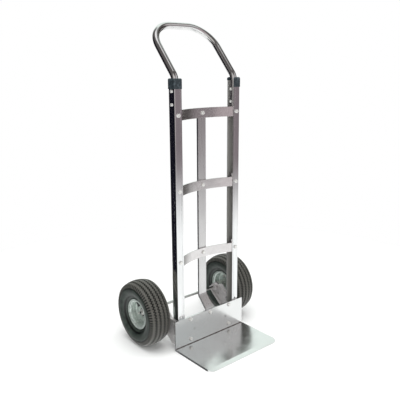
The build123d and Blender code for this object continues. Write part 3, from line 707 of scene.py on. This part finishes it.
# ---- The nose: heel plate, toe plate and the weld between them ----
@dataclass
class Nose:
    """The heel and toe plates, a rippled weld bead under the joint, and painted shadow in it.

    Attributes:
        seam_leg_mm: Width of the strip of painted shadow in the joint.
        seam_step_mm: Distance between the strip's points.
        seam_swing: How far the shadow strip's width strays, as a share of it.
        seam_waves: The two rates, in radians a point, at which the width strays.
        ripple_mm: Distance between the weld's ripples.
        ripple_depth_mm: Height of a ripple.
        ripple_steps: Points along one ripple.
        arc_steps: Points across the bead's face.
    """

    seam_leg_mm: float = 2.6
    seam_step_mm: float = 6.0
    seam_swing: float = 0.25
    seam_waves: tuple[float, float] = (1.7, 0.6)
    ripple_mm: float = 2.4
    ripple_depth_mm: float = 0.35
    ripple_steps: int = 4
    arc_steps: int = 8

    def build(self) -> None:
        """Dresses the plates, and builds the weld bead and the strip of painted shadow in the
        joint.
        """
        dress(("heel_plate", "toe_plate"), PLATE_METAL)
        bead = self.weld_bead()
        bead.data.materials.append(WELD_METAL.material())
        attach(bead, "frame")
        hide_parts("heel_weld")
        LOG.info("%s is built", bead.name)
        # A dark strip of painted shadow along the joint between the plates.
        seam = self.joint_shadow_strip()
        seam.data.materials.append(JOINT_SHADOW_PAINT.material())
        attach(seam, "frame")
        LOG.info("%s is built", seam.name)

    def joint_shadow_strip(self) -> Object:
        """A dark line of painted shadow where the toe plate meets the heel plate.

        Returns:
            A thin three-cornered strip with an uneven face, as a closed mesh.
        """
        low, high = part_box("toe_plate")
        half = (high.x - low.x) / 2 - self.seam_leg_mm * MM
        steps = int(2 * half / (self.seam_step_mm * MM))
        quick, slow = self.seam_waves
        verts: list[Vector] = []
        for step in range(steps + 1):
            x = -half + 2 * half * step / steps
            stray = math.sin(step * quick) * math.sin(step * slow)
            leg = self.seam_leg_mm * MM * (1 + self.seam_swing * stray)
            verts.append(Vector((x, high.y, high.z)))
            verts.append(Vector((x, high.y - leg, high.z)))
            verts.append(Vector((x, high.y, high.z + leg)))
        faces = ring_faces(3, steps)
        faces += [(0, 1, 2), tuple(3 * steps + index for index in range(3))]
        return mesh_object("joint_shadow_strip", verts, faces, smooth=False)

    def weld_bead(self) -> Object:
        """The bead: a bulged triangle in section, rippled along its length.

        Returns:
            The bead as a closed mesh.
        """
        low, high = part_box("heel_weld")
        steps = int((high.x - low.x) / (self.ripple_mm * MM / self.ripple_steps))
        verts: list[Vector] = []
        for step in range(steps + 1):
            x = low.x + (high.x - low.x) * step / steps
            phase = (step % self.ripple_steps) / self.ripple_steps
            verts.append(Vector((x, high.y, high.z)))
            for index in range(self.arc_steps + 1):
                share = index / self.arc_steps
                y = low.y + (high.y - low.y) * share
                lift = self.ripple_depth_mm * MM * phase * math.sin(math.pi * share)
                verts.append(Vector((x, y, low.z + lift)))
        count = self.arc_steps + 2
        faces = ring_faces(count, steps)
        faces.append(tuple(range(count)))
        faces.append(tuple(range(steps * count, (steps + 1) * count)))
        return mesh_object("weld_bead", verts, faces)


def ring_faces(count: int, steps: int, closed: bool = False) -> list[tuple[int, ...]]:
    """Quads that join a run of equal rings of points.

    Args:
        count: Points in each ring.
        steps: Gaps between rings, or the number of rings where the run is closed.
        closed: Whether the last ring joins the first.

    Returns:
        The quads as corner numbers.
    """
    faces = []
    rings = steps if closed else steps + 1
    for step in range(steps):
        here, there = step * count, ((step + 1) % rings) * count
        for index in range(count):
            after = (index + 1) % count
            faces.append((here + index, here + after, there + after, there + index))
    return faces


# ---- The axle, its brackets and its split pins ----
@dataclass
class AxleGear:
    """Brackets, axle, spacers, washers, inner races and split pins.

    Attributes:
        wire_mm: Diameter of the folded pin, two half wires side by side.
        slack_mm: How much wider than the pin its hole is.
        foot_spread: How far each foot is bent out, in wire radii.
        foot_rise: How far above the feet the legs part, in wire radii.
        bend_steps: Points round the pin's eye.
    """

    wire_mm: float = 2.0
    slack_mm: float = 0.5
    foot_spread: float = 5.4
    foot_rise: float = 5.0
    bend_steps: int = 14

    def build(self) -> None:
        """Dresses the axle gear and builds a folded split pin on each side."""
        dress(("axle_bracket_left", "axle_bracket_right"), BRACKET_METAL)
        dress(("axle",), AXLE_METAL)
        dress(("axle_spacers", "axle_washers"), FASTENER_ZINC)
        dress(("bearing_inner_races_left", "bearing_inner_races_right"), BEARING_METAL)
        pins = [self.split_pin(side) for side in Side]
        for pin in pins:
            pin.data.materials.append(FASTENER_ZINC.material())
            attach(pin, "frame")
            LOG.info("%s is built", pin.name)
        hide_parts("cotter_pins")
        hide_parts("cotter_pins")

    def split_pin(self, side: Side) -> Object:
        """One split pin: an eye on top, two legs through the axle, spread below.

        Args:
            side: The side of the truck that it is on.

        Returns:
            The pin as a mesh.
        """
        low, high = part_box("cotter_pins")
        axle_low, axle_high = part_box("axle")
        middle_y = (axle_low.y + axle_high.y) / 2
        pin_x = side.value * (high.x - (self.wire_mm + self.slack_mm) * MM / 2)
        radius = self.wire_mm * MM / 4
        eye_radius = (high.y - low.y) / 2 - radius
        eye_z = high.z - eye_radius - radius
        foot_z = low.z + 2 * radius
        legs = []
        for leg in (-1, 1):
            near = middle_y + radius * leg
            legs.append([Vector((pin_x, middle_y + self.foot_spread * radius * leg, foot_z)),
                         Vector((pin_x, near, foot_z + self.foot_rise * radius)),
                         Vector((pin_x, near, eye_z - eye_radius))])
        eye = []
        for step in range(1, self.bend_steps):
            angle = -math.pi / 2 - 2 * math.pi * step / self.bend_steps
            eye.append(Vector((pin_x, middle_y + eye_radius * math.cos(angle),
                               eye_z + eye_radius * math.sin(angle))))
        route = legs[0] + eye + legs[1][::-1]
        return wire_mesh(f"split_pin_{side.word}", route, radius)


def wire_mesh(name: str, route: list[Vector], radius: float) -> Object:
    """A round wire along a route, as a mesh.

    Args:
        name: The object's name.
        route: Points along the wire's middle.
        radius: The wire's radius in metres.

    Returns:
        The wire as a mesh object.
    """
    curve = bpy.data.curves.new(name, "CURVE")
    curve.dimensions = "3D"
    curve.bevel_depth = radius
    curve.bevel_resolution = 3
    curve.use_fill_caps = True
    spline = curve.splines.new("POLY")
    spline.points.add(len(route) - 1)
    for point, place in zip(spline.points, route):
        point.co = (*place, 1.0)
    holder = bpy.data.objects.new(name + "_line", curve)
    bpy.context.scene.collection.objects.link(holder)
    bpy.context.view_layer.update()
    graph = bpy.context.evaluated_depsgraph_get()
    mesh = bpy.data.meshes.new_from_object(holder.evaluated_get(graph))
    bpy.data.objects.remove(holder)
    for polygon in mesh.polygons:
        polygon.use_smooth = True
    obj = bpy.data.objects.new(name, mesh)
    bpy.context.scene.collection.objects.link(obj)
    return obj


# ---- Bolts and nuts ----
@dataclass
class Fasteners:
    """Every bolt and nut on the frame and in the rims."""

    sets: tuple[str, ...] = ("handle", "cross_member", "strap", "heel", "bracket")

    def build(self) -> None:
        """Dresses the bolts and nuts in zinc."""
        names = [f"{name}_{kind}" for name in self.sets for kind in ("bolts", "nuts")]
        names += [f"rim_{kind}_{side.word}" for side in Side for kind in ("bolts", "nuts")]
        dress(names, FASTENER_ZINC)


# ---- Wheels ----
@dataclass
class Tyre:
    """A pneumatic tyre with four stepped grooves and notched shoulders.

    Sizes are in millimetres. Places across the tyre are measured from its middle plane,
    and radii from the axle.

    Attributes:
        side: The side of the truck that it is on.
        periods: Teeth of the grooves' edges round the tyre.
        samples: Where points stand within one tooth, as shares of it.
        groove_places: Middle of each groove.
        groove_width: Width of a groove.
        groove_depth: Depth of a groove.
        tooth: How far a tooth moves a groove to each side.
        wall_run: How far across a groove's side slopes.
        notch_depth: Depth of the shoulder's notches.
        ridge_height: Height of the ring that divides sidewall and shoulder.
        inset: How far the tread stays inside the frame's plain tyre.
        crown_half: Half width of the tread.
        shoulder_radius: Radius at the tread's edge.
        widest_radius: Radius where the tyre is widest.
        bead_radius: Radius where the sidewall meets the rim.
        bead_half: Half width where the sidewall meets the rim.
        sidewall_steps: Steps down the sidewall.
        rib_shares: Where points stand across a rib, as shares of it.
        rib_inset: How far the outer ribs stop short of the shoulder.
        notch_zone: Start and end of the notches, which take painted shade, as shares of the
            sidewall.
        trench_end: End of the ring of painted shade inside the notches, likewise.
        ridge_end: End of the raised ring inside that one, likewise.
        bead_zone: Start and end of the ring of painted shadow beside the rim, likewise.
        bead_dent: Depth of the dent under that painted shadow.
        rise: How far a ridge or dent also moves the radius, as a share of it.
        bead_wall: Thickness of the rubber at the bead.
        well_radius: Radius of the tyre's hidden inner face.
        well_half: Half width of the tyre's hidden inner face.
        well_shade: Darkness of the hidden inner face.
        wear_drop: How far below the shoulder's radius the floor wears the rubber.
        center: Middle of the tyre, in metres.
        radius: Outer radius.
        half_width: Half of the overall width.
    """

    side: Side
    periods: int = 72
    samples: tuple[float, ...] = (0.0, 0.08, 0.5, 0.58)
    groove_places: tuple[float, ...] = (-27.0, -9.5, 9.5, 27.0)
    groove_width: float = 7.2
    groove_depth: float = 5.5
    tooth: float = 2.2
    wall_run: float = 0.5
    notch_depth: float = 3.6
    ridge_height: float = 1.2
    inset: float = 0.05
    crown_half: float = 40.0
    shoulder_radius: float = 122.5
    widest_radius: float = 93.0
    bead_radius: float = 65.0
    bead_half: float = 32.2
    sidewall_steps: int = 18
    rib_shares: tuple[float, ...] = (0.0, 0.35, 0.7, 1.0)
    rib_inset: float = 0.8
    notch_zone: tuple[float, float] = (0.02, 0.24)
    trench_end: float = 0.30
    ridge_end: float = 0.36
    bead_zone: tuple[float, float] = (0.74, 0.86)
    bead_dent: float = 2.0
    rise: float = 0.35
    bead_wall: float = 4.0
    well_radius: float = 51.5
    well_half: float = 18.0
    well_shade: float = 0.6
    wear_drop: float = 14.0
    center: Vector = field(default_factory=Vector)
    radius: float = 0.0
    half_width: float = 0.0

    def build(self) -> None:
        """Builds the tyre's mesh in place of the frame's plain one."""
        node = f"tyre_{self.side.word}"
        low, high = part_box(node)
        self.center = (low + high) / 2
        span = min(high.y - low.y, high.z - low.z)
        self.radius = span / 2 / MM - self.inset
        self.half_width = (high.x - low.x) / 2 / MM
        tyre = self.mesh()
        tyre.data.materials.append(TYRE_RUBBER.material())
        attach(tyre, f"wheel_{self.side.word}")
        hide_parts(node)
        LOG.info("%s is built", tyre.name)

    def crown(self, across: float) -> float:
        """Radius of the ungrooved tread at a place across the tyre."""
        sag = self.radius - self.shoulder_radius
        bend = (self.crown_half ** 2 + sag ** 2) / (2 * sag)
        return self.radius - bend + math.sqrt(bend ** 2 - across ** 2)

    def wall(self, share: float) -> tuple[float, float]:
        """A point on the sidewall's arc, from the shoulder at 0 to the bead at 1.

        Args:
            share: How far along the arc.

        Returns:
            Place across the tyre and radius.
        """
        start = Vector((self.crown_half, self.shoulder_radius))
        middle = Vector((self.half_width, self.widest_radius))
        end = Vector((self.bead_half, self.bead_radius))
        center = circle_center(start, middle, end)
        first = math.atan2(start.y - center.y, start.x - center.x)
        last = math.atan2(end.y - center.y, end.x - center.x)
        angle = first + (last - first) * share
        bend = (start - center).length
        return center.x + bend * math.cos(angle), center.y + bend * math.sin(angle)

    def tread_row(self, shift: float) -> list[tuple[float, float, float]]:
        """Points across the tread from the left shoulder to the right one.

        Args:
            shift: How far the grooves stand to one side at this angle, in millimetres.

        Returns:
            Place across, radius and share of painted shade for each point.
        """
        row = []
        half, run = self.groove_width / 2, self.wall_run
        edge = -self.crown_half + self.rib_inset
        for number, place in enumerate(self.groove_places):
            lean = shift * (1 if number % 2 else -1)
            top_start, top_end = place - half - run + lean, place + half + run + lean
            for share in self.rib_shares:
                across = edge + (top_start - edge) * share
                row.append((across, self.crown(across), 0.0))
            for across in (top_start + run, top_end - run):
                row.append((across, self.crown(across) - self.groove_depth, 1.0))
            edge = top_end
        last = self.crown_half - self.rib_inset
        for share in self.rib_shares:
            across = edge + (last - edge) * share
            row.append((across, self.crown(across), 0.0))
        return row

    def wall_row(self, notch: float) -> list[tuple[float, float, float]]:
        """Points down the right sidewall, with the notched shoulder and its ridge.

        Args:
            notch: How deep the shoulder's notches are at this angle, 0 to 1.

        Returns:
            Place across, radius and share of painted shade for each point.
        """
        row = []
        notch_start, notch_end = self.notch_zone
        bead_start, bead_end = self.bead_zone
        for step in range(self.sidewall_steps + 1):
            share = step / self.sidewall_steps
            across, radius = self.wall(share)
            lift, painted_shade = 0.0, 0.0
            # Painted shade falls in the notches, the ring inside them and the ring beside the rim.
            if notch_start < share < notch_end:
                lift, painted_shade = -self.notch_depth * notch, notch
            elif notch_end <= share < self.trench_end:
                lift, painted_shade = -self.notch_depth, 1.0
            elif self.trench_end <= share < self.ridge_end:
                lift = self.ridge_height
            elif bead_start < share < bead_end:
                lift, painted_shade = -self.bead_dent, 1.0
            across = min(across * (1 + lift / self.half_width), self.half_width)
            row.append((across, radius + lift * self.rise, painted_shade))
        return row

    def mesh(self) -> Object:
        """The tyre as one closed mesh, with its painted groove shade and wear attributes."""
        verts: list[Vector] = []
        painted_shades: list[float] = []
        wears: list[float] = []
        inner_half = self.bead_half - self.bead_wall
        inner = ((inner_half, self.bead_radius - self.bead_wall),
                 (inner_half, self.well_radius), (self.well_half, self.well_radius))
        total = self.periods * len(self.samples)
        row: list[tuple[float, float, float]] = []
        for number in range(total):
            tooth, sample = divmod(number, len(self.samples))
            share = self.samples[sample]
            angle = 2 * math.pi * (tooth + share) / self.periods
            notch = 1.0 if share in self.samples[1:3] else 0.0
            right = self.wall_row(notch)
            row = [(-a, r, d) for a, r, d in reversed(right)]
            row += self.tread_row(self.tooth * (2 * notch - 1)) + right
            row += [(a, r, self.well_shade) for a, r in inner]
            row += [(-a, r, self.well_shade) for a, r in reversed(inner)]
            for across, radius, painted_shade in row:
                place = Vector((across, radius * math.cos(angle), radius * math.sin(angle)))
                verts.append(self.center + place * MM)
                painted_shades.append(painted_shade)
                on_top = radius > self.shoulder_radius - self.wear_drop
                wears.append(1.0 if on_top and painted_shade == 0.0 else 0.0)
        obj = mesh_object(f"tyre_tread_{self.side.word}", verts,
                          ring_faces(len(row), total, closed=True))
        for name, values in (("groove", painted_shades), ("wear", wears)):
            layer = obj.data.attributes.new(name, "FLOAT", "POINT")
            layer.data.foreach_set("value", values)
        return obj


def circle_center(a: Vector, b: Vector, c: Vector) -> Vector:
    """The centre of the circle through three points in a plane."""
    ax, ay, bx, by, cx, cy = *a, *b, *c
    d = 2 * (ax * (by - cy) + bx * (cy - ay) + cx * (ay - by))
    square_a, square_b, square_c = ax * ax + ay * ay, bx * bx + by * by, cx * cx + cy * cy
    x = (square_a * (by - cy) + square_b * (cy - ay) + square_c * (ay - by)) / d
    y = (square_a * (cx - bx) + square_b * (ax - cx) + square_c * (bx - ax)) / d
    return Vector((x, y))


@dataclass
class Wheel:
    """One wheel: tyre, rims with pressed ridges, hub, bearings, inner tube and valve stem.

    Attributes:
        side: The side of the truck that it is on.
        ridges: Each ridge's inset from the rim's outer edge, its radius and half thickness.
        around: Points round a ridge.
        sides: Points round a ridge's own section.
    """

    side: Side
    ridges: tuple[tuple[float, float, float], ...] = (
        (1.8, 58.6, 1.7), (9.0, 48.4, 1.6), (17.5, 48.4, 1.6), (29.6, 44.5, 1.8),
        (29.6, 25.5, 1.4))
    around: int = 96
    sides: int = 10

    def build(self) -> None:
        """Builds the tyre and the rim's rings and dresses the rest of the wheel."""
        word = self.side.word
        Tyre(self.side).build()
        rings = self.rim_rings()
        rings.data.materials.append(RIM_ENAMEL.material())
        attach(rings, f"wheel_{word}")
        LOG.info("%s is built", rings.name)
        dress((f"rim_outer_{word}", f"rim_inner_{word}"), RIM_ENAMEL)
        dress((f"hub_{word}",), HUB_ZINC)
        dress((f"bearing_outer_races_{word}", f"bearing_balls_{word}"), BEARING_METAL)
        dress((f"inner_tube_{word}", f"valve_stem_{word}"), BUTYL_RUBBER)

    def rim_rings(self) -> Object:
        """Pressed ridges round the inside of the outer half rim.

        Returns:
            The ridges as closed rings in one mesh.
        """
        low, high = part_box(f"rim_outer_{self.side.word}")
        center = (low + high) / 2
        outer_x = high.x if self.side is Side.RIGHT else low.x
        verts: list[Vector] = []
        faces: list[tuple[int, ...]] = []
        for inset, radius, thick in self.ridges:
            middle_x = outer_x - self.side.value * inset * MM
            first = len(verts)
            for step in range(self.around):
                turn = 2 * math.pi * step / self.around
                for corner in range(self.sides):
                    angle = 2 * math.pi * corner / self.sides
                    reach = (radius + thick * math.cos(angle)) * MM
                    verts.append(Vector((middle_x + thick * MM * math.sin(angle),
                                         center.y + reach * math.cos(turn),
                                         center.z + reach * math.sin(turn))))
            quads = ring_faces(self.sides, self.around, closed=True)
            faces += [tuple(first + corner for corner in quad) for quad in quads]
        return mesh_object(f"rim_ridges_{self.side.word}", verts, faces)


# ---- Studio: floor, lights, surroundings and camera ----
@dataclass(frozen=True)
class Lobe:
    """A soft patch of colour in the studio's surroundings, seen only as a reflection.

    Attributes:
        toward: Direction of the patch's middle.
        inner: Cosine inside which the patch is full.
        outer: Cosine outside which it is gone.
        color: Its colour.
        strength: Its brightness.
    """

    toward: tuple[float, float, float]
    inner: float
    outer: float
    color: str
    strength: float

    def glow(self) -> tuple[float, ...]:
        """The patch's light: its colour at its brightness."""
        return tuple(channel * self.strength for channel in linear(self.color)[:3]) + (1.0,)


@dataclass(frozen=True)
class Lamp:
    """A square soft light.

    Attributes:
        name: What the light is called.
        place: Where it hangs, in metres.
        target: The point that it faces, in metres.
        size: Its width in metres.
        power: Its power in watts.
    """

    name: str
    place: tuple[float, float, float]
    target: tuple[float, float, float]
    size: float
    power: float


@dataclass
class Studio:
    """A pale floor, soft lights, the surround and the camera.

    Attributes:
        eye: The camera's place in metres.
        azimuth: Camera's turn round the truck in degrees, 0 looking along +Y.
        elevation: Camera's height angle in degrees.
        roll: Camera's roll in degrees.
        lens_mm: Focal length.
        sensor_mm: Width of the camera's sensor.
        floor_half: Radius of the round floor in metres.
        floor_corners: Corners round the floor.
        surround: Colour that metal mirrors where no lobe is.
        fill: Brightness of the white that lights everything softly.
        lobes: Patches of light and dark that metal mirrors, later ones over earlier ones.
        lamps: The soft lights.
    """

    eye: tuple[float, float, float] = (-1.3036, -1.5141, 1.0660)
    azimuth: float = -40.27
    elevation: float = 13.95
    roll: float = -0.38
    lens_mm: float = 47.8
    sensor_mm: float = 36.0
    floor_half: float = 1.6
    floor_corners: int = 24
    fill: float = 0.75
    surround: str = "#625e5d"
    lobes: tuple[Lobe, ...] = (
        Lobe((0.0, 0.0, 1.0), 0.985, 0.90, "#ffffff", 1.2),
        Lobe((0.57, 0.35, 0.74), 0.97, 0.90, "#f2fbf6", 1.2),
        Lobe((0.30, -0.95, -0.02), 0.84, 0.60, "#857b7f", 1.0),
        Lobe((-0.15, -0.96, 0.10), 0.95, 0.82, "#b5a8ab", 1.0),
        Lobe((0.60, -0.65, 0.46), 0.97, 0.90, "#cdc8c7", 1.0),
        Lobe((0.46, -0.76, 0.46), 0.995, 0.975, "#e2ecec", 1.0),
        Lobe((0.58, 0.66, 0.47), 0.94, 0.80, "#eaf4ef", 1.2),
        Lobe((0.0, 0.0, -1.0), 0.31, 0.16, "#fafcfb", 1.25),
        Lobe((0.98, 0.02, 0.12), 0.94, 0.82, "#413d3b", 1.0),
        Lobe((-0.53, 0.85, 0.08), 0.93, 0.82, "#12111c", 1.0),
        Lobe((-0.72, 0.60, -0.36), 0.965, 0.90, "#12111c", 1.0),
        Lobe((-0.75, -0.62, 0.3), 0.96, 0.83, "#dcdad7", 1.0),
    )
    lamps: tuple[Lamp, ...] = (
        Lamp("overhead_softbox", (-0.3, -0.3, 3.2), (0.0, 0.0, 0.4), 2.6, 62.0),
        Lamp("front_fill", (-1.2, -3.2, 1.6), (0.0, 0.0, 0.5), 1.8, 22.0),
        Lamp("side_fill", (3.0, -0.8, 1.8), (0.0, 0.0, 0.5), 1.6, 14.0),
    )

    def build(self) -> None:
        """Builds everything that isn't part of the truck."""
        scene = bpy.context.scene
        scene.view_settings.view_transform = "Standard"
        scene.view_settings.look = "None"
        self.build_surround(scene)
        self.build_floor()
        self.build_lights()
        self.build_camera(scene)

    def build_surround(self, scene: bpy.types.Scene) -> None:
        """Makes the world: white behind the truck, and grey with lobes in reflections."""
        world = bpy.data.worlds.new("studio_surround")
        world.use_nodes = True
        scene.world = world
        tree = world.node_tree
        tree.nodes.clear()
        toward = add_node(tree, "ShaderNodeTexCoord").outputs["Generated"]
        mixed: Socket | tuple[float, ...] = linear(self.surround)
        for lobe in self.lobes:
            facing = add_node(tree, "ShaderNodeVectorMath", {"operation": "DOT_PRODUCT"},
                              values={1: Vector(lobe.toward).normalized()},
                              links={0: toward})
            amount = add_node(tree, "ShaderNodeMapRange", {"interpolation_type": "SMOOTHSTEP"},
                              values={"From Min": lobe.outer, "From Max": lobe.inner},
                              links={"Value": facing.outputs["Value"]})
            mixed = blend(amount.outputs[0], mixed, lobe.glow())
        mirrored = add_node(tree, "ShaderNodeBackground", links={"Color": mixed})
        white = linear("#ffffff")
        plain = add_node(tree, "ShaderNodeBackground",
                         values={"Color": white, "Strength": self.fill})
        behind = add_node(tree, "ShaderNodeBackground", values={"Color": white})
        path = add_node(tree, "ShaderNodeLightPath")
        soft = add_node(tree, "ShaderNodeMixShader", links={
            0: path.outputs["Is Glossy Ray"], 1: plain.outputs[0], 2: mirrored.outputs[0]})
        seen = add_node(tree, "ShaderNodeMixShader", links={
            0: path.outputs["Is Camera Ray"], 1: soft.outputs[0], 2: behind.outputs[0]})
        add_node(tree, "ShaderNodeOutputWorld", links={"Surface": seen.outputs[0]})

    def build_floor(self) -> None:
        """Lays a pale matt floor, with a slight unevenness in its white."""
        turns = [2 * math.pi * number / self.floor_corners for number in range(self.floor_corners)]
        ring = [Vector((math.cos(turn), math.sin(turn), 0.0)) * self.floor_half for turn in turns]
        floor = mesh_object("studio_floor", ring, [tuple(range(len(ring)))], smooth=False)
        material = bpy.data.materials.new("pale_studio_paper")
        material.use_nodes = True
        tree = material.node_tree
        tree.nodes.clear()
        place = add_node(tree, "ShaderNodeTexCoord").outputs["Object"]
        grain = add_node(tree, "ShaderNodeTexNoise", values={"Scale": 9.0}, links={"Vector": place})
        tone = blend(grain.outputs[0], linear("#f7f8f7"), linear("#fbfcfb"))
        shader = add_node(tree, "ShaderNodeBsdfPrincipled",
                          values={"Roughness": 0.9, "Specular IOR Level": 0.1},
                          links={"Base Color": tone})
        add_node(tree, "ShaderNodeOutputMaterial", links={"Surface": shader.outputs[0]})
        floor.data.materials.append(material)
        floor.visible_glossy = False

    def build_lights(self) -> None:
        """Hangs one large soft light over the truck and a fill on each side."""
        for lamp in self.lamps:
            data = bpy.data.lights.new(lamp.name, "AREA")
            data.shape = "SQUARE"
            data.size = lamp.size
            data.energy = lamp.power
            light = bpy.data.objects.new(lamp.name, data)
            light.location = lamp.place
            aim = Vector(lamp.target) - Vector(lamp.place)
            light.rotation_euler = aim.to_track_quat("-Z", "Y").to_euler()
            light.visible_glossy = False
            bpy.context.scene.collection.objects.link(light)

    def build_camera(self, scene: bpy.types.Scene) -> None:
        """Stands the camera at its place, turned by its three angles."""
        turn, lift = math.radians(self.azimuth), math.radians(self.elevation)
        back = Vector((math.sin(turn) * math.cos(lift), -math.cos(turn) * math.cos(lift),
                       math.sin(lift)))
        data = bpy.data.cameras.new("camera")
        data.sensor_width = self.sensor_mm
        data.lens = self.lens_mm
        camera = bpy.data.objects.new("camera", data)
        facing = (-back).to_track_quat("-Z", "Y").to_matrix().to_4x4()
        rolled = Matrix.Rotation(math.radians(self.roll), 4, "Z")
        camera.matrix_world = Matrix.Translation(self.eye) @ facing @ rolled
        scene.collection.objects.link(camera)
        scene.camera = camera


def main() -> None:
    """Builds the studio and every sub-assembly in order."""
    logging.basicConfig(level=logging.INFO, format="%(name)s: %(message)s")
    Studio().build()
    UprightFrame().build()
    Nose().build()
    AxleGear().build()
    Fasteners().build()
    for side in Side:
        Wheel(side).build()


if __name__ == "__main__":
    main()
